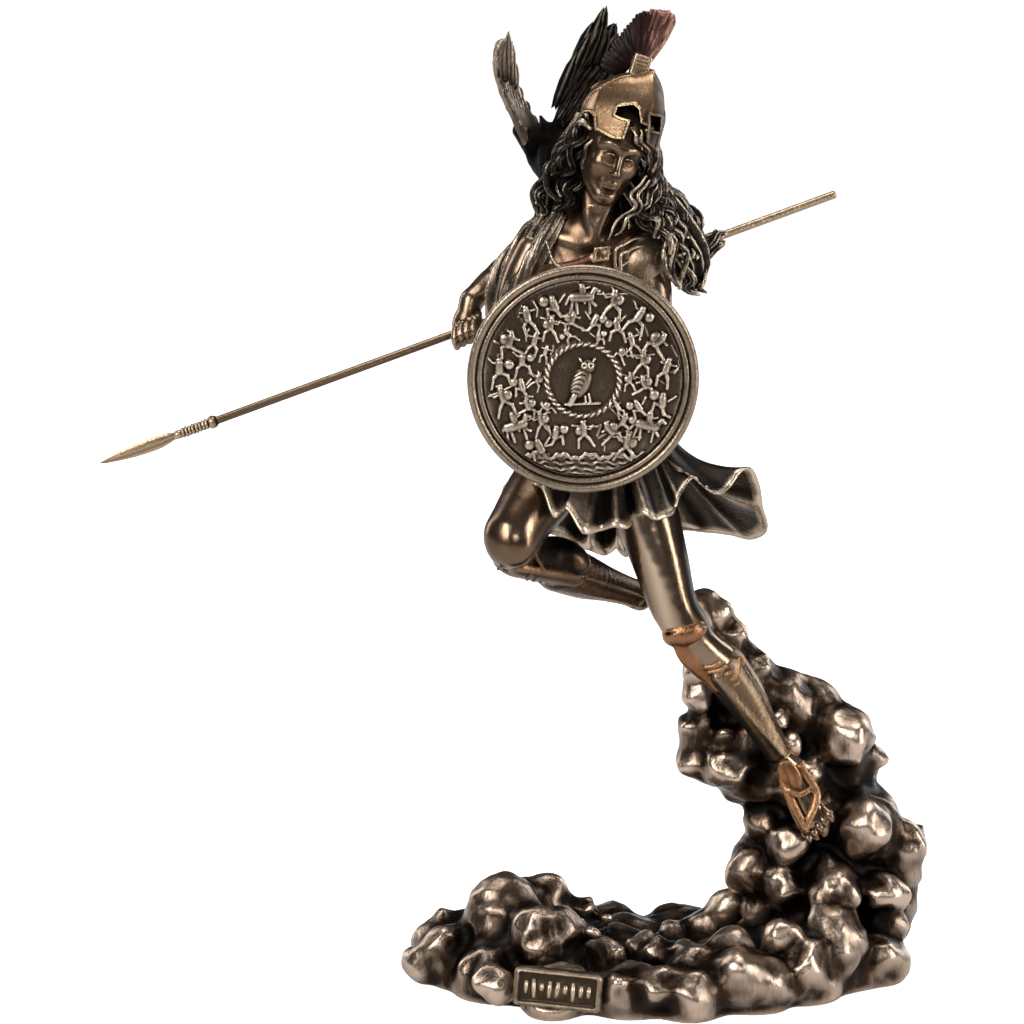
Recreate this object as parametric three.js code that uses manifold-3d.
// A cold-cast bronze figurine: a helmeted goddess steps down from a curling cloud, with a spear
// drawn behind her back, a round shield on her left arm and an owl beating its wings behind her.
// Millimetres, +Z up, the figure faces -Y, and the origin is the centre of the cloud's flat underside.
import * as THREE from "three";
import { mergeVertices } from "three/addons/utils/BufferGeometryUtils.js";
import Module from "manifold-3d";

const wasm = await Module();
wasm.setup();

// Driving sizes
const SEAT_GAP = 0.3; // between two castings where one is seated on the other
const PLINTH = { length: 146, width: 93, height: 9 };
const PLATE = { width: 26, height: 11.5, thick: 2.4, root: 9, border: 1.1, sink: 0.7, corner: 2 };
const SHIELD = { radius: 32.7, thick: 3, rim: 4.6, recess: 1.5, dome: 1.6, relief: 0.9, roundel: 11 };
const SPEAR = {
  rod: 1.15, head: 21, blade: 1.9, blade_thick: 0.9, socket: 1.5, rings: 6, ring_pitch: 1.6, collar: 1.95,
};
const CLOTH = 1.3; // thickness of the tunic's free edges
const GREAVE = 1; // how far a greave stands proud of the shin

// Pose: where the joints are
const HEAD = { at: [-13.4, -8.5, 246.4], yaw: 26, pitch: -10, roll: 16 };
const HELMET = { at: [-9.8, -3.4, 261.2], yaw: 36, pitch: 20, roll: 25 };
const LEFT_LEG = {
  hip: [-6, -1, 158], knee: [10.8, -12, 109.7], ankle: [40.4, -7.5, 66.3], toe: [49.7, -12.5, 45.6], bulge: [-1.4, 0, 0],
};
const RIGHT_LEG = {
  hip: [-23, -2, 160], knee: [-43.3, -31, 140], ankle: [-4, 6, 116], toe: [9, 27, 111], bulge: [0.6, 0, 1],
};
const RIGHT_ARM = {
  shoulder: [-33.5, 1, 222.5], elbow: [-44, 26, 212], wrist: [-53.2, 15.6, 201.8], hand: [-55, 13.3, 193.9],
};
const LEFT_ARM = { shoulder: [-4.5, -3, 218], elbow: [4, -10, 192], hand: [-21, -29.5, 189] };
const SHIELD_AT = [-21.2, -38, 188.4];
const SPEAR_BUTT = [54.3, 23, 232.8];
const SPEAR_TIP = [-162.5, 4, 155.9];

const V = (p) => (p.isVector3 ? p.clone() : new THREE.Vector3(...p));
const mix = (a, b, t) => a + (b - a) * t;
const turn = Math.PI * 2;

// Solids: closed geometry in, a welded solid out, and joins and cuts between solids
function solid(geometry) {
  const g = geometry.clone();
  g.deleteAttribute("normal");
  g.deleteAttribute("uv");
  const merged = mergeVertices(g, 1e-4);
  const vertProperties = merged.attributes.position.array;
  const triVerts = new Uint32Array(merged.index.array);
  const corner = (i) => new THREE.Vector3().fromArray(vertProperties, 3 * i);
  let volume = 0;
  for (let i = 0; i < triVerts.length; i += 3)
    volume += corner(triVerts[i]).dot(corner(triVerts[i + 1]).cross(corner(triVerts[i + 2])));
  if (volume < 0)
    for (let i = 0; i < triVerts.length; i += 3)
      [triVerts[i + 1], triVerts[i + 2]] = [triVerts[i + 2], triVerts[i + 1]];
  return new wasm.Manifold(new wasm.Mesh({ numProp: 3, vertProperties, triVerts }));
}

const join = (...pieces) => pieces.flat(Infinity).reduce((all, one) => all.add(one));
const cut = (from, ...tools) => tools.flat(Infinity).reduce((left, one) => left.subtract(one), from);

// The frame of something that faces -Y at rest: yaw to the viewer's right, pitch up, roll to the right
function frame({ at, yaw = 0, pitch = 0, roll = 0 }) {
  const rad = THREE.MathUtils.degToRad;
  const turned = new THREE.Matrix4().makeRotationZ(rad(yaw));
  turned.multiply(new THREE.Matrix4().makeRotationX(rad(-pitch)));
  turned.multiply(new THREE.Matrix4().makeRotationY(rad(roll)));
  return turned.setPosition(V(at));
}

// An ellipsoid of flat facets; detail 0 has 20 of them, 1 has 80 and 2 has 180
function ball(at, radii, { detail = 1, turned = [0, 0, 0], within, grow = 0 } = {}) {
  const r = (typeof radii === "number" ? [radii, radii, radii] : radii).map((value) => value + grow);
  const g = new THREE.IcosahedronGeometry(1, detail).scale(...r);
  g.applyMatrix4(new THREE.Matrix4().makeRotationFromEuler(new THREE.Euler(...turned)));
  g.translate(...at);
  return solid(within ? g.applyMatrix4(within) : g);
}

// A skin over a row of rings of equal count, closed by a cap at each end, or round on itself
function skin(rings, { loop = false } = {}) {
  const count = rings[0].length;
  const points = rings.flat();
  const index = [];
  const last = loop ? rings.length : rings.length - 1;
  for (let i = 0; i < last; i++)
    for (let j = 0; j < count; j++) {
      const k = (j + 1) % count;
      const a = i * count;
      const b = ((i + 1) % rings.length) * count;
      index.push(a + j, b + j, b + k, a + j, b + k, a + k);
    }
  if (!loop)
    for (const end of [0, rings.length - 1]) {
      const centre = rings[end].reduce((sum, p) => sum.add(p), V([0, 0, 0])).divideScalar(count);
      points.push(centre);
      for (let j = 0; j < count; j++) {
        const pair = [end * count + j, end * count + ((j + 1) % count)];
        index.push(points.length - 1, ...(end ? pair.reverse() : pair));
      }
    }
  const g = new THREE.BufferGeometry().setFromPoints(points);
  return g.setIndex(index);
}

// A limb: an oval section carried along a smooth line through key rings [x, y, z, wide, deep]
function loft(keys, options = {}) {
  const { sides = 8, steps = 6, wide = [1, 0, 0], flute = () => 1, grow = 0, round = 0, within } = options;
  const line = new THREE.CatmullRomCurve3(keys.map((k) => V(k.slice(0, 3))));
  const size = (t, column) => {
    const s = t * (keys.length - 1);
    const i = Math.min(Math.floor(s), keys.length - 2);
    const value = (k) => k[column] ?? k[3];
    return mix(value(keys[i]), value(keys[i + 1]), mix(s - i, THREE.MathUtils.smoothstep(s - i, 0, 1), 0.5));
  };
  const rings = [];
  for (let i = 0; i <= steps; i++) {
    const t = i / steps;
    const tangent = line.getTangent(t);
    const x = V(wide).addScaledVector(tangent, -V(wide).dot(tangent)).normalize();
    const y = V(tangent).cross(x);
    const at = line.getPoint(t).addScaledVector(tangent, i === 0 ? -grow : i === steps ? grow : 0);
    rings.push(
      Array.from({ length: sides }, (_, j) => {
        const a = (j / sides) * turn;
        return V(at)
          .addScaledVector(x, Math.cos(a) * (size(t, 3) * flute(a, t) + grow))
          .addScaledVector(y, Math.sin(a) * (size(t, 4) * flute(a, t) + grow));
      }),
    );
  }
  if (round)
    for (const end of [0, 1]) {
      const ring = rings[end ? rings.length - 1 : 0];
      const out = line.getTangent(end).multiplyScalar((end ? 1 : -1) * round);
      const centre = line.getPoint(end);
      const smaller = ring.map((p) => V(p).sub(centre).multiplyScalar(0.55).add(centre).add(out));
      end ? rings.push(smaller) : rings.unshift(smaller);
    }
  const g = skin(rings);
  return solid(within ? g.applyMatrix4(within) : g);
}

// Things fanned out between two guide lines: make(start, middle, end, share) for each
function fan(count, starts, ends, make, middles) {
  const [from, to] = [starts, ends].map((line) => new THREE.CatmullRomCurve3(line.map(V)));
  const through = middles && new THREE.CatmullRomCurve3(middles.map(V));
  return Array.from({ length: count }, (_, i) => {
    const t = count > 1 ? i / (count - 1) : 0.5;
    const [a, b] = [from.getPoint(t), to.getPoint(t)];
    return make(a, through ? through.getPoint(t) : V(a).lerp(b, 0.5), b, t, i);
  });
}

// A straight rod between two points
function rod(from, to, radius, sides = 10) {
  const length = V(from).distanceTo(V(to));
  const g = new THREE.CylinderGeometry(radius, radius, length, sides).rotateX(Math.PI / 2);
  const matrix = new THREE.Matrix4().lookAt(V(to), V(from), new THREE.Vector3(0, 0, 1));
  return solid(g.applyMatrix4(matrix.setPosition(V(from).lerp(V(to), 0.5))));
}

// A bare leg; the cloud is cut away round a grown copy of the standing one
function leg({ hip, knee, ankle, toe, bulge }, swell, grow = 0) {
  const along = (a, b, t, push = [0, 0, 0]) => V(a).lerp(V(b), t).add(V(push)).toArray();
  return join(
    loft([[...hip, 9.8], [...along(hip, knee, 0.45, bulge), 9.2], [...knee, 6.5]], { steps: 4, grow }),
    loft(
      [[...knee, 6.2], [...along(knee, ankle, 0.33, swell), 6.2], [...along(knee, ankle, 0.7), 4.3], [...ankle, 3.2, 3.6]],
      { steps: 5, grow },
    ),
    loft([[...ankle, 3.4], [...along(ankle, toe, 0.6), 4.4, 3], [...toe, 3, 1.7]], { steps: 3, grow, round: 1 }),
  );
}

const CALF_SWELL = { left: [1.4, 2.4, 1], right: [0.6, 2.4, -2.6] };

// Cloud: a low oval pool of billows, and a column of them that leans to the left as it climbs and
// ends in a plume behind the standing leg. Both skins are pushed out to billows [x, y, z, radius].
const COLUMN = [
  [55, 15, 4, 18, 18],
  [55, 15, 16, 19, 19],
  [55, 15, 28, 17, 15],
  [52, 14, 43, 14, 12],
  [44, 14, 60, 15, 11.5],
  [38, 13, 73, 16, 10],
  [31, 9, 84, 14, 7],
  [27, 6, 94, 8.5, 5],
  [24, 4, 104, 5, 4.4],
  [17.4, 2.4, 115.5, 3, 3],
];
const COLUMN_BILLOWS = [
  [17.6, 2.5, 114, 4.6],
  [21.5, 3, 108, 4.4],
  [25.5, 3.5, 102.5, 5.6],
  [32, 5, 92.5, 6.6],
  [36, 5, 86, 6.4],
  [44, 6, 81, 7.4],
  [51, 12, 81, 7],
  [14.5, 4.5, 92, 4.8],
  [15.4, 4.5, 84, 6.8],
  [14, 6, 73, 7.4],
  [20, 8, 65, 10.4],
  [29, 2, 71, 8],
  [31, 5, 58, 8],
  [57, 8, 72, 9.4],
  [61, 12, 63, 10.4],
  [44, 2, 60, 9],
  [64, 5, 43, 12.4],
  [35, 6, 44, 7.4],
  [42, 2, 38, 8],
  [50, 0, 50, 8.6],
  [33, 8, 31, 8.4],
  [41, 0, 26, 8],
  [55, -3, 29, 9.4],
  [75.4, 11, 34, 9.2],
  [72.6, 10, 20, 10],
  [48, -6, 15, 8.6],
  [66, 25, 30, 9.5],
  [46, 26, 42, 10],
  [60, 25, 55, 9],
  [35, 23, 60, 9],
  [48, 24, 74, 8.4],
  [28, 20, 78, 7.4],
  [40, 30, 22, 10],
  [62, 34, 16, 10],
  [26, 13, 94, 4.6],
];
const POOL_BILLOWS = [
  [-45, -6, 16, 13.4],
  [-36, 4, 17, 8.6],
  [-31, -22, 15.5, 12.4],
  [-61, -3, 6, 9.6],
  [-56, 8, 7, 8],
  [-49, -24, 8, 10],
  [-26, 17, 9, 8.4],
  [-44, 20, 6, 9],
  [-28, -40, 6, 9],
  [-6, -38, 6.5, 9],
  [14, -34, 8, 9.6],
  [30, -30, 8, 9],
  [4, -19, 5, 9.6],
  [-15, -9, 5.6, 8.4],
  [20, -11, 4, 9.8],
  [3, -2, 1.4, 9.8],
  [-10, 8, 3, 9.4],
  [16, 8, 2.4, 10],
  [-6, 22, -1, 10],
  [12, 32, -3, 9.4],
  [30, 33, -1, 9],
  [44, -20, 8, 9],
  [66, -12, 8, 10],
  [68.6, 7, 9, 10.4],
];
const RIM_BILLOWS = { count: 18, radius: 11.4, height: 4.8, hollow: 0.4, back_drop: 6.5 };

function rim_billows() {
  const { count, radius, height, hollow, back_drop } = RIM_BILLOWS;
  return Array.from({ length: count }, (_, i) => {
    const a = (i / count) * turn;
    const r = radius * (1 + 0.13 * Math.sin(i * 2.4));
    const [x, y] = [PLINTH.length / 2 - r * (1 - hollow * 0.3), PLINTH.width / 2 - r * (1 - hollow)];
    const sunk = Math.max(0, Math.sin(a)) * back_drop;
    return [Math.cos(a) * x, Math.sin(a) * y, height - sunk + 1.2 * Math.sin(i * 1.7), r];
  });
}

// How far a level ray runs out from [x, y, z] before it leaves the last billow
function reach([x, y, z], angle, least, billows) {
  const [dx, dy] = [Math.cos(angle), Math.sin(angle)];
  return billows.reduce((far, [bx, by, bz, r]) => {
    const along = (bx - x) * dx + (by - y) * dy;
    const aside = (bx - x) * dy - (by - y) * dx;
    const left = r * r - (bz - z) ** 2 - aside * aside;
    return left > 0 ? Math.max(far, along + Math.sqrt(left)) : far;
  }, least);
}

const height_over = (x, y, floor, billows) =>
  billows.reduce((top, [bx, by, bz, r]) => {
    const left = r * r - (bx - x) ** 2 - (by - y) ** 2;
    return left > 0 ? Math.max(top, bz + Math.sqrt(left)) : top;
  }, floor);

function column_of_cloud({ sides = 20, rows = 25 } = {}) {
  const [low, high] = [COLUMN[0][2], COLUMN[COLUMN.length - 1][2]];
  const rings = Array.from({ length: rows }, (_, i) => {
    const z = mix(low, high, i / (rows - 1));
    const k = Math.min(COLUMN.findLastIndex((key) => key[2] <= z), COLUMN.length - 2);
    const t = (z - COLUMN[k][2]) / (COLUMN[k + 1][2] - COLUMN[k][2]);
    const [x, y, , wide, deep] = COLUMN[k].map((value, n) => mix(value, COLUMN[k + 1][n], t));
    return Array.from({ length: sides }, (_, j) => {
      const a = (j / sides) * turn;
      const least = (wide * deep) / Math.hypot(deep * Math.cos(a), wide * Math.sin(a));
      const r = reach([x, y, z], a, least, COLUMN_BILLOWS);
      return V([x + Math.cos(a) * r, y + Math.sin(a) * r, z]);
    });
  });
  return solid(skin(rings));
}

function pool_of_cloud({ sides = 52 } = {}) {
  const rim = rim_billows();
  const skirt = [[0, 0.95], [PLINTH.height * 0.28, 1], [PLINTH.height * 0.62, 1]];
  const top = [0.97, 0.86, 0.72, 0.55, 0.37, 0.18];
  const edge = (a, z) => reach([0, 0, z], a, 38, rim);
  const around = (place) => Array.from({ length: sides }, (_, j) => place((j / sides) * turn));
  const rings = [
    ...skirt.map(([z, share]) =>
      around((a) => V([Math.cos(a), Math.sin(a), 0]).multiplyScalar(edge(a, Math.max(z, 2)) * share).setZ(z))),
    ...top.map((share) =>
      around((a) => {
        const p = V([Math.cos(a), Math.sin(a), 0]).multiplyScalar(edge(a, RIM_BILLOWS.height) * share);
        return p.setZ(height_over(p.x, p.y, PLINTH.height * 0.66, [...rim, ...POOL_BILLOWS]));
      })),
  ];
  return solid(skin(rings));
}

// Name plate: a framed tablet on the front rim, with shallow strokes where words would be
const PLATE_FRAME = frame({ at: [-28, -46, 9.9], yaw: -9, pitch: 12, roll: 3 });
const STROKES = { count: 9, width: 0.55, height: 5.2, raise: 0.45 };

function rounded_plate(width, height, corner, depth) {
  const [x, y] = [width / 2, height / 2];
  const shape = new THREE.Shape();
  shape.moveTo(-x + corner, -y).lineTo(x - corner, -y).absarc(x - corner, -y + corner, corner, -turn / 4, 0);
  shape.lineTo(x, y - corner).absarc(x - corner, y - corner, corner, 0, turn / 4);
  shape.lineTo(-x + corner, y).absarc(-x + corner, y - corner, corner, turn / 4, turn / 2);
  shape.lineTo(-x, -y + corner).absarc(-x + corner, -y + corner, corner, turn / 2, (turn * 3) / 4);
  const g = new THREE.ExtrudeGeometry(shape, { depth, bevelEnabled: false, curveSegments: 3 });
  return g.rotateX(Math.PI / 2);
}

function name_plate() {
  const { width, height, thick, root, border, sink, corner } = PLATE;
  const body = rounded_plate(width, height, corner, thick + root).translate(0, root, 0);
  body.applyMatrix4(PLATE_FRAME);
  const field = rounded_plate(width - 2 * border, height - 2 * border, corner - border / 2, sink + 1);
  field.translate(0, sink - thick, 0).applyMatrix4(PLATE_FRAME);
  const { count, width: w, height: h, raise } = STROKES;
  const strokes = Array.from({ length: count }, (_, i) => {
    const g = new THREE.BoxGeometry(w, raise + 1, h * (0.7 + 0.3 * Math.sin(i * 2.3)));
    g.translate(((i + 0.5) / count - 0.5) * (width - 5 * border), sink - thick - raise / 2 + 0.5, 0);
    return solid(g.applyMatrix4(PLATE_FRAME));
  });
  return { body: solid(body), field: solid(field), strokes };
}

function cloud() {
  const plate = name_plate();
  const body = join(pool_of_cloud(), column_of_cloud(), plate.body);
  const below = solid(new THREE.BoxGeometry(400, 400, 60).translate(0, 0, -30));
  const standing_leg = leg(LEFT_LEG, CALF_SWELL.left, GREAVE + 2 * SEAT_GAP);
  return join(cut(body, plate.field, below, standing_leg), plate.strokes);
}


// Figure: the body in the pose, then what it wears, all one casting
function torso() {
  return join(
    loft(
      [
        [-15, 1, 149, 12, 9],
        [-15, 2, 158, 16.6, 12.6],
        [-14, 1.5, 168, 14, 11],
        [-13, 1, 179, 11, 8.8],
        [-15, 0, 194, 13.2, 9.6],
        [-18, -1, 207, 15.6, 10.4],
        [-19.5, 0, 217, 16.6, 8.6],
        [-19.5, 0, 225, 9, 6.6],
        [-16.5, -2.5, 232, 4.8, 5],
        [-13.5, -4, 242, 4.6, 5],
      ],
      { sides: 10, steps: 10 },
    ),
    ball([-25.6, -8.4, 208.6], [6.2, 5.4, 6.2]),
    ball([-11.4, -9, 207.4], [6.2, 5.4, 6.2]),
  );
}

function head() {
  const within = frame(HEAD);
  const part = (at, radii, detail = 1) => ball(at, radii, { detail, within });
  return join(
    part([0, 2.2, 2.6], [8.6, 10, 9.6]),
    part([0, -2, -4.6], [6.2, 6.4, 7.4]),
    part([0, -6.2, -10], [2.7, 2.4, 2.2], 0),
    part([0, -7.4, 2.4], [5.6, 2.2, 1.7], 0),
    part([0, -8.5, -1.7], [1.4, 2.4, 3], 0),
    part([0, -8, -6.6], [2.4, 1.3, 1.1], 0),
  );
}

// Helmet: a tall bowl with a face piece, pushed back off the brow, its eye holes empty
function helmet() {
  const within = frame(HELMET);
  const ridge = (ring) =>
    ring.map(([x, y, z]) => V([x, y - 2.4 * Math.max(0, 1 - Math.abs(x) / 3.2) * (y < 0 ? 1 : 0), z]));
  const oval = (z, wide, deep, shift) =>
    ridge(Array.from({ length: 14 }, (_, j) => {
      const a = (j / 14) * turn;
      return [Math.sin(a) * wide, -Math.cos(a) * deep + shift, z];
    }));
  const bowl = skin([
    oval(-11.6, 9.8, 11.4, 0.4),
    oval(-6, 10.8, 12.4, 0.4),
    oval(0, 11, 12.8, 0.4),
    oval(5.4, 10, 11.6, -0.2),
    oval(9.6, 7.4, 8.6, -2),
    oval(12.4, 2.4, 3.4, -5),
  ]);
  const block = (size, at, tilt = [0, 0, 0]) => {
    const g = new THREE.BoxGeometry(...size);
    g.applyMatrix4(new THREE.Matrix4().makeRotationFromEuler(new THREE.Euler(...tilt))).translate(...at);
    return solid(g.applyMatrix4(within));
  };
  const sides = [-1, 1];
  return cut(
    solid(bowl.applyMatrix4(within)),
    sides.map((side) => block([6.4, 8, 3.2], [side * 4.4, -13, -3.6], [0, side * 0.3, 0])),
    sides.map((side) => block([3.2, 8, 9], [side * 2.7, -13, -8.4], [0, side * -0.12, 0])),
    block([6, 8, 6], [0, -13, -11.4]),
    sides.map((side) => block([12, 30, 8], [side * 11.6, 2, -13.4], [0, side * 0.42, 0])),
    block([30, 14, 12], [0, 11, -14], [0.3, 0, 0]),
  );
}

function crest() {
  const within = frame(HELMET);
  const plume = loft(
    [
      [0, 2, 10, 2, 7],
      [0.8, 0.6, 16, 3, 10],
      [2, -2.6, 22.4, 3.8, 12],
      [3.4, -5.6, 27.6, 3.4, 10.4],
    ],
    { sides: 8, steps: 4, round: 1.6, within },
  );
  const holder = new THREE.BoxGeometry(5.4, 11, 6).translate(0.6, -5.4, 13).applyMatrix4(within);
  return join(plume, solid(holder));
}

// Hair: fluted masses behind the head and down both sides, with free locks over their ends
function lock(points, { radius = 2.4, wave = 2.1, seed = 0 } = {}) {
  const line = new THREE.CatmullRomCurve3(points.map(V));
  const keys = Array.from({ length: 6 }, (_, k) => {
    const t = k / 5;
    const p = line.getPoint(t);
    const sway = Math.sin(t * 9 + seed) * wave * (0.35 + t * 0.65);
    return [p.x + sway, p.y + Math.cos(t * 6 + seed) * wave * 0.6, p.z, radius * mix(1.15, 0.6, t * t), radius];
  });
  return loft(keys, { sides: 5, steps: 4, wide: [0.7, 0.7, 0.1] });
}

function hair() {
  const strands = (count, twist) => (a, t) =>
    1 + 0.13 * Math.cos(count * (a + twist * t)) + 0.05 * Math.sin(t * 14 + a * 2);
  const mass = (keys, options) => loft(keys, { sides: 12, flute: strands(4, 1.2), ...options });
  const tress = (keys, twist) => mass(keys, { steps: 3, sides: 8, flute: strands(3, twist) });
  return join(
    ball([-14.5, 3.5, 248.4], [9.6, 9.4, 12]),
    mass(
      [
        [-10, -1, 250, 5.4, 7.4],
        [-7.4, 0, 241, 5.4, 8],
        [1.6, 2, 230, 8, 8],
        [9, 3.4, 218, 7.6, 6.6],
        [11, 3, 210, 4, 4],
      ],
      { steps: 6 },
    ),
    tress([[-20, 1, 249, 5.4, 7], [-26.6, 1, 241, 5, 6.4], [-31.4, 2, 231, 3, 4.4]], 1),
    tress([[-16, 8, 250, 8.4, 6], [-15.4, 10.4, 239, 9.6, 5], [-12, 10.4, 226, 7, 3]], -1),
    tress([[-8, 5, 240, 7, 6], [-6, 8, 226, 8, 5], [-6, 8, 214, 6, 4]], 0.6),
    [
      [[-3.8, -9, 247], [-3, -10, 238], [-1, -8.4, 229], [4.4, -6, 212]],
      [[-8, -2, 240], [-7, -2, 232], [-3, -3, 225], [0, -4, 220]],
      [[-4, -7, 246], [0.4, -5, 237], [9.4, -4, 228], [13, -3, 206.4]],
      [[0, 4, 236], [9, 8, 229], [16, 9, 225], [16.4, 8, 212.5]],
      [[-20, -9.6, 251], [-22.6, -10, 243], [-23.6, -9, 236], [-26.4, -8, 229]],
      [[-22, -6, 253], [-27, -6, 246], [-30.6, -4, 238], [-33.4, -3, 228]],
    ].map((points, i) => lock(points, { seed: i * 1.9 })),
    lock([[9, 7, 224], [13, 10.4, 220.6], [20, 16, 221.4]], { radius: 3.2, wave: 0 }),
  );
}

// Arms: the right one reaches out to the spear, the left one bends behind the shield
function arms() {
  const { shoulder, elbow, wrist, hand } = RIGHT_ARM;
  const spear_way = V(SPEAR_BUTT).sub(V(SPEAR_TIP)).normalize();
  const fingers = Array.from({ length: 4 }, (_, i) => {
    const at = V(hand).addScaledVector(spear_way, (i - 1.5) * 2).add(V([-0.6, -2.6, -0.6]));
    return ball(at.toArray(), [1.4, 2.4, 3.2], { detail: 0 });
  });
  const left = LEFT_ARM;
  return join(
    loft(
      [[...shoulder, 6.6], [-40, 13, 217.4, 5.6], [...elbow, 4.9], [-49, 21.4, 206.8, 4.7], [...wrist, 3.1]],
      { steps: 6, wide: [0.6, 0.6, 0.4] },
    ),
    loft([[-46.6, 22.4, 208.6, 5.1], [...wrist, 3.9]], { steps: 1, wide: [0.6, 0.6, 0.4] }),
    loft([[...wrist, 3.1], [...hand, 3.4]], { steps: 1, sides: 6 }),
    ball(hand, [4.4, 4, 4.6]),
    fingers,
    loft([[...left.shoulder, 6.4], [1.4, -6, 205, 5.4], [...left.elbow, 5]], { steps: 3, round: 2 }),
    loft([[...left.elbow, 4.9], [-8, -19.6, 190.5, 4.6], [...left.hand, 3.4]], { steps: 3, wide: [0, 0, 1] }),
    ball(left.hand, [4.4, 7.6, 4], { detail: 0 }),
  );
}

// A sleeve of the cloak hangs over the right arm, and a plate guards the left shoulder
function cloak_and_guard() {
  const pleats = (a, t) => 1 + 0.1 * Math.cos(4 * a + 3 * t);
  const cloth = (keys, steps) => loft(keys, { steps, sides: 10, flute: pleats, round: 1, wide: [0.5, 0.3, 0.8] });
  return join(
    cloth(
      [
        [-25, 0, 226.4, 4.4, 4.4],
        [-31.4, 2, 222.6, 5.4, 5.4],
        [-38, 9, 217.4, 6.2, 6.2],
        [-42.6, 18, 211.4, 5.8, 6.6],
        [-44.6, 19, 207, 4.6, 5.4],
      ],
      5,
    ),
    cloth([[-36, 4, 216.4, 5, 3.6], [-41.4, 4, 208, 5.4, 3.6], [-46, 3.4, 199, 5, 2.2]], 3),
    ball([-4.1, -4.6, 216.6], [7.6, 7.4, 9], { turned: [0, 0.25, 0] }),
    loft([[-33, -6.4, 220, 1.6, 2], [-20, -8.4, 217.6, 1.6, 2], [-6, -9.4, 222, 1.6, 2]], { steps: 4, sides: 6 }),
    ball([-14.3, -10.4, 218.6], [2.3, 2, 2.3], { detail: 0 }),
  );
}

// Tunic: two walls from the belt down to a wind-blown hem, closed round the edge
const HEM = [
  [-33.2, -29, 155.8], [-31.5, -32.4, 148.6], [-26.7, -34.4, 150], [-20.1, -33, 142.9], [-12, -31, 144.4],
  [-3.2, -29.4, 147.4], [2.7, -26.6, 145.2], [10.2, -18, 155], [18.9, -12, 149.8], [25.6, -6, 154.7],
  [31.6, 0, 148.3], [34.4, 8, 136.4], [31.7, 14, 132.2], [21.2, 19.6, 132.2], [9.6, 22, 132.6],
  [1.9, 24, 127.6], [-6.5, 24, 123], [-14.7, 24, 125], [-21.4, 20, 126.6], [-25.7, 14, 131],
  [-34.4, 6, 140], [-41, -4, 146], [-39.4, -13, 154.4], [-35, -23, 160],
];

function tunic({ columns = 40, rows = 3 } = {}) {
  const hem = new THREE.CatmullRomCurve3(HEM.map(V), true);
  const belt = [-13.4, 1, 180];
  const wall = (inward) =>
    Array.from({ length: rows + 1 }, (_, i) => {
      const t = i / rows;
      return Array.from({ length: columns }, (_, j) => {
        const low = hem.getPoint(j / columns);
        const a = Math.atan2(low.y - 2, low.x + 13);
        const blown = Math.max(0, Math.cos(a)) ** 2;
        const top = V([belt[0] + Math.cos(a) * 9.6, belt[1] + Math.sin(a) * 7.6, belt[2]]);
        const p = top.lerp(low, t);
        const fold = Math.cos((j / columns) * turn * 10) * 1.25 * t;
        const swell = Math.sin(Math.min(1, t * 1.15) * Math.PI) * mix(4.6, -6.4, blown) + fold - (inward ? CLOTH : 0);
        return p.add(V([Math.cos(a) * swell, Math.sin(a) * swell, inward ? 0.3 : 0]));
      });
    });
  return join(
    solid(skin([...wall(false), ...wall(true).reverse()], { loop: true })),
    loft([[-13.4, 1, 176.6, 12.4, 10.2], [-13.4, 1, 182, 12.4, 10.2]], { steps: 1, sides: 10 }),
  );
}

// Greave: a shell over the shin with a flared knee plate, a strap and the sandal below
function greave({ knee, ankle, toe }, swell, plate) {
  const along = (a, b, t, push = [0, 0, 0]) => V(a).lerp(V(b), t).add(V(push)).toArray();
  const shin = [
    [...along(knee, ankle, 0.1), 6.2],
    [...along(knee, ankle, 0.33, swell), 6.2],
    [...along(knee, ankle, 0.7), 4.3],
    [...along(knee, ankle, 0.93), 3.3, 3.7],
  ];
  const strap = (t, r) => loft([[...along(knee, ankle, t), r], [...along(knee, ankle, t + 0.04), r]], { steps: 1 });
  return join(
    loft(shin, { steps: 4, grow: GREAVE }),
    strap(0.2, 6.6 + GREAVE),
    ball(along(knee, ankle, 0.01, plate), [6, 3.8, 7], { turned: [0.1, -0.4, 0] }),
    loft([[...along(ankle, toe, 0.2, [0, 0.4, -0.2]), 4], [...along(ankle, toe, 0.42, [0, 0.4, -0.2]), 4.6, 3.6]], { steps: 1 }),
  );
}

function toes({ ankle, toe }) {
  const way = V(toe).sub(V(ankle)).normalize();
  const across = V(way).cross(V([0, -1, 0])).normalize();
  return Array.from({ length: 4 }, (_, i) => {
    const at = V(toe).addScaledVector(across, (i - 1.5) * 1.6).addScaledVector(way, 1.2 - Math.abs(i - 1.5) * 0.4);
    return ball(at.toArray(), [1.1, 1.3, 1.7], { detail: 0 });
  });
}

function figure() {
  return join(
    torso(), head(), helmet(), crest(), hair(), arms(), cloak_and_guard(), tunic(),
    leg(LEFT_LEG, CALF_SWELL.left),
    leg(RIGHT_LEG, CALF_SWELL.right),
    greave(LEFT_LEG, CALF_SWELL.left, [-0.6, -4.6, 1.4]),
    greave(RIGHT_LEG, CALF_SWELL.right, [-0.6, -2.8, -1]),
    toes(LEFT_LEG),
  );
}

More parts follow.
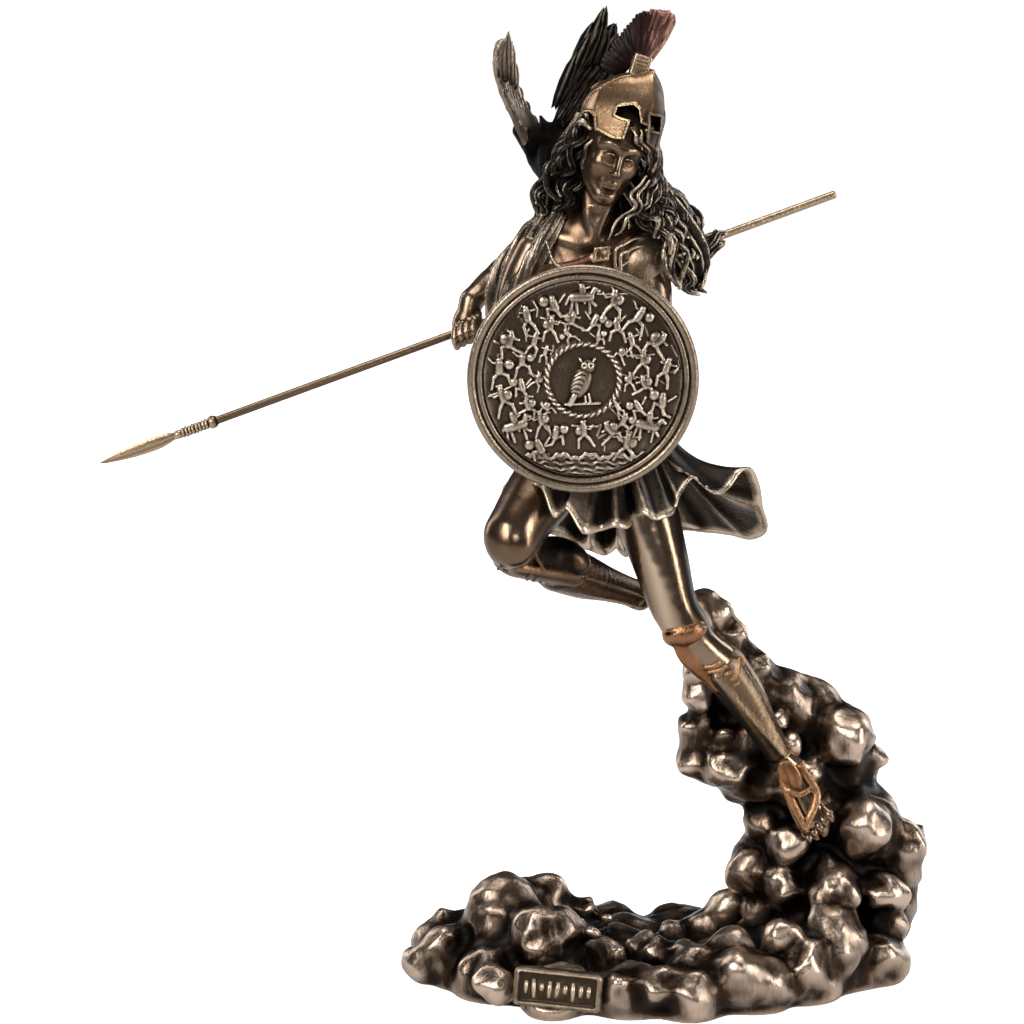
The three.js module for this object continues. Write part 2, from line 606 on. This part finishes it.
// Spear: a turned rod with a collar, a bound neck and a socket, and a flat leaf blade
function spear() {
  const [tip, butt] = [V(SPEAR_TIP), V(SPEAR_BUTT)];
  const way = V(butt).sub(tip).normalize();
  const length = tip.distanceTo(butt);
  const at = (distance) => V(tip).addScaledVector(way, distance).toArray();
  const { rod: r, head, blade, blade_thick, socket, rings, ring_pitch, collar } = SPEAR;
  const neck = head + 5;
  const binding = Array.from({ length: rings }, (_, i) => [
    [socket, neck + i * ring_pitch],
    [socket - 0.35, neck + (i + 0.55) * ring_pitch],
  ]).flat();
  const end = neck + rings * ring_pitch;
  const half = [
    [0, head - 2], [socket * 0.6, head - 1.6], ...binding, [collar, end + 0.1], [collar, end + 1.6], [r, end + 1.9],
    [r, length], [0, length],
  ].map(([radius, along]) => new THREE.Vector2(radius, along));
  const turned = new THREE.LatheGeometry(half, 8);
  turned.applyQuaternion(new THREE.Quaternion().setFromUnitVectors(V([0, 1, 0]), way)).translate(...tip.toArray());
  const leaf = loft(
    [[...at(0), 0.15, 0.15], [...at(head * 0.35), blade * 0.72, blade_thick * 0.7], [...at(head * 0.62), blade, blade_thick],
      [...at(head * 0.86), blade * 0.72, blade_thick], [...at(head + 4), socket * 0.85, socket * 0.85]],
    { sides: 6, steps: 6, wide: [0, -0.25, 1] },
  );
  return join(solid(turned), leaf);
}

function spear_room() {
  const [tip, butt] = [V(SPEAR_TIP), V(SPEAR_BUTT)];
  return rod(V(tip).lerp(butt, 0.25), butt, SPEAR.rod + SEAT_GAP, 12);
}

// Shield: a shallow disc with stepped mouldings, a small owl in the middle and two rings of figures
function shield_room() {
  const { radius, thick } = SHIELD;
  const room = new THREE.CylinderGeometry(radius + SEAT_GAP, radius + SEAT_GAP, thick + 12, 32);
  return solid(room.translate(0, thick + SEAT_GAP - (thick + 12) / 2, 0).applyMatrix4(frame({ at: SHIELD_AT })));
}

// A striding figure with one arm raised, as a flat outline about 8 mm tall
function little_figure(stride, reach_out, mirrored) {
  const points = [
    [-0.5, 0.2], [-0.9 - stride, -2.9], [0.15, -0.8], [1.2 + stride, -2.7], [0.8, 1.2], [2.1, 1.6 + reach_out],
    [0.5, 2.1], [0.6, 3.2], [-0.5, 3.2], [-0.4, 2.1], [-1.9, 1 - reach_out],
  ].map(([x, y]) => new THREE.Vector2(mirrored ? -x : x, y).multiplyScalar(1.3));
  return new THREE.Shape(points);
}

function shield() {
  const { radius, thick, rim, dome, relief, roundel } = SHIELD;
  const place = frame({ at: SHIELD_AT });
  const flat = radius - rim;
  const front = (r) => -SHIELD.recess + dome * (1 - Math.min(1, (r / flat) ** 2));
  const half = [
    [0, -thick], [radius - 1, -thick], [radius, 0.9 - thick], [radius, -0.7], [radius - 0.8, 0], [radius - rim * 0.42, 0],
    [radius - rim * 0.52, -0.6], [radius - rim * 0.6, -0.2], [radius - rim * 0.9, -0.2], [flat, front(flat)],
    [flat * 0.55, front(flat * 0.55)], [0, front(0)],
  ].map(([r, h]) => new THREE.Vector2(r, -h));
  const disc = solid(new THREE.LatheGeometry(half, 28).applyMatrix4(place));
  const put = (g, x, z, lean) =>
    solid(g.rotateY(lean).translate(x, -front(Math.hypot(x, z)), z).applyMatrix4(place));
  const ring = (count, r, skew) =>
    Array.from({ length: count }, (_, i) => {
      const a = (i / count) * turn + skew;
      const shape = little_figure(0.5 + 0.35 * Math.sin(i * 2), 0.8 * Math.sin(i * 1.3), i % 2);
      const g = new THREE.ExtrudeGeometry(shape, { depth: relief + 0.8, bevelEnabled: false });
      g.rotateX(Math.PI / 2).translate(0, 0.8, 0);
      return put(g, Math.cos(a) * r, Math.sin(a) * r, 0.25 * Math.sin(i * 2.3));
    });
  const border = new THREE.TorusGeometry(roundel, 0.8, 3, 18).rotateX(Math.PI / 2);
  const bird = (at, radii, detail = 0, tilt = 0) => {
    const g = new THREE.IcosahedronGeometry(1, detail).scale(...radii).rotateY(tilt);
    return solid(g.translate(at[0], -front(0) + 0.1, at[1]).applyMatrix4(place));
  };
  return join(
    disc,
    ring(10, flat - 4.6, 0.2),
    ring(4, roundel + 5, 0.9),
    put(border, 0, 0, 0),
    bird([0.4, -1.2], [2.8, 1.4, 4.8], 0, 0.25),
    bird([-0.6, 3.9], [2.7, 1.6, 2.4]),
    bird([-1.6, 4.2], [0.8, 2, 0.8]),
    bird([0.5, 4.2], [0.8, 2, 0.8]),
    bird([1.7, -2], [1.5, 1.7, 3.8], 0, -0.3),
    bird([-0.4, -6.4], [1.5, 1, 0.8]),
  );
}

// Owl: it beats up from her right shoulder, wings raised in a V, its face turned to the back
const WINGS = {
  left: {
    bone: [[-34, 21, 245], [-42, 20, 256], [-46, 19, 266], [-45.4, 18.4, 274]],
    tips: [[-31, 31, 251], [-37, 31, 261], [-40.5, 28, 270], [-41.6, 23, 277], [-42.8, 19.6, 281]],
  },
  right: {
    bone: [[-23.6, 23, 246], [-15, 25, 256], [-10.8, 27, 268], [-12.6, 29, 280]],
    tips: [[-29.6, 28, 253.5], [-27, 29, 262.6], [-23, 29.6, 272.6], [-18, 30, 282.4], [-14.8, 30, 288.2]],
  },
};

function wing({ bone, tips }, grow) {
  const edge = new THREE.CatmullRomCurve3(bone.map(V));
  const ends = new THREE.CatmullRomCurve3(tips.map(V));
  const feather = (a, b, c, t) => {
    const bend = V(b).add(V([0, -0.6, 1.2]));
    const width = mix(4.4, 2.6, t);
    return loft(
      [[...a.toArray(), width * 0.8, 0.8], [...bend.toArray(), width, 0.7], [...c.toArray(), 1.2, 0.4]],
      { sides: 4, steps: 2, wide: edge.getTangent(t).toArray(), grow },
    );
  };
  const keys = [0, 0.35, 0.7, 1].map((t, i) => {
    return [...edge.getPoint(t).toArray(), [3.2, 2.4, 1.8, 1.2][i], [2.2, 1.7, 1.2, 0.8][i]];
  });
  const webs = [0, 0.33, 0.66, 0.95].map((t) => {
    const [a, b] = [edge.getPoint(t), ends.getPoint(t)];
    return [...a.clone().lerp(b, 0.42).toArray(), a.distanceTo(b) * 0.44, 1];
  });
  const across = ends.getPoint(0.4).sub(edge.getPoint(0.4)).toArray();
  const web = loft(webs, { sides: 6, steps: 3, wide: across, grow });
  return [loft(keys, { sides: 6, steps: 4, grow }), web, ...fan(5, bone, tips, feather)];
}

function owl(grow = 0) {
  const part = (at, radii, detail = 1) => ball(at, radii, { detail, grow });
  const claw = (keys) => loft(keys, { sides: 6, steps: 2, grow });
  return join(
    part([-27.4, 23, 242], [7, 8.6, 10]),
    part([-28.4, 31.6, 247.2], [5.8, 5.6, 5.2]),
    [-1, 1].map((side) => part([-28.4 + side * 2.4, 36.4, 247.8], [2, 1.2, 2], 0)),
    part([-28.4, 37.4, 245.6], [0.8, 1.6, 1.6], 0),
    loft([[-27, 25, 234, 5, 3], [-25.4, 27, 226.5, 4.4, 1.6], [-24, 28.6, 221, 3, 0.8]], { sides: 8, steps: 3, grow }),
    [0, 1].map((i) => claw([[-28 - i * 3, 19, 236, 2], [-31.4 - i * 4.4, 10 + i * 2, 222.4 - i * 2, 1.4]])),
    wing(WINGS.left, grow),
    wing(WINGS.right, grow),
  );
}

// Assembly: what seats in another casting is cut out of it with the seat gap
function mesh(name, body, color, { roughness = 0.42, metalness = 0.85 } = {}) {
  const { vertProperties, triVerts } = body.getMesh();
  const geometry = new THREE.BufferGeometry();
  geometry.setAttribute("position", new THREE.BufferAttribute(vertProperties, 3));
  geometry.setIndex(new THREE.BufferAttribute(triVerts, 1));
  const made = new THREE.Mesh(geometry, new THREE.MeshStandardMaterial({ color, roughness, metalness }));
  made.name = name;
  return made;
}

const the_spear = spear();
const the_owl = cut(owl(), spear_room());
const the_figure = cut(figure(), spear_room(), shield_room(), owl(SEAT_GAP));

const group = new THREE.Group();
group.name = "athena_statue";
group.add(
  mesh("cloud_base", cloud(), 0x6b5238),
  mesh("figure", the_figure, 0x5f4a35),
  mesh("shield", shield(), 0x8a7048),
  mesh("spear", the_spear, 0x93784f),
  mesh("owl", the_owl, 0x3c3128),
);

export default group;
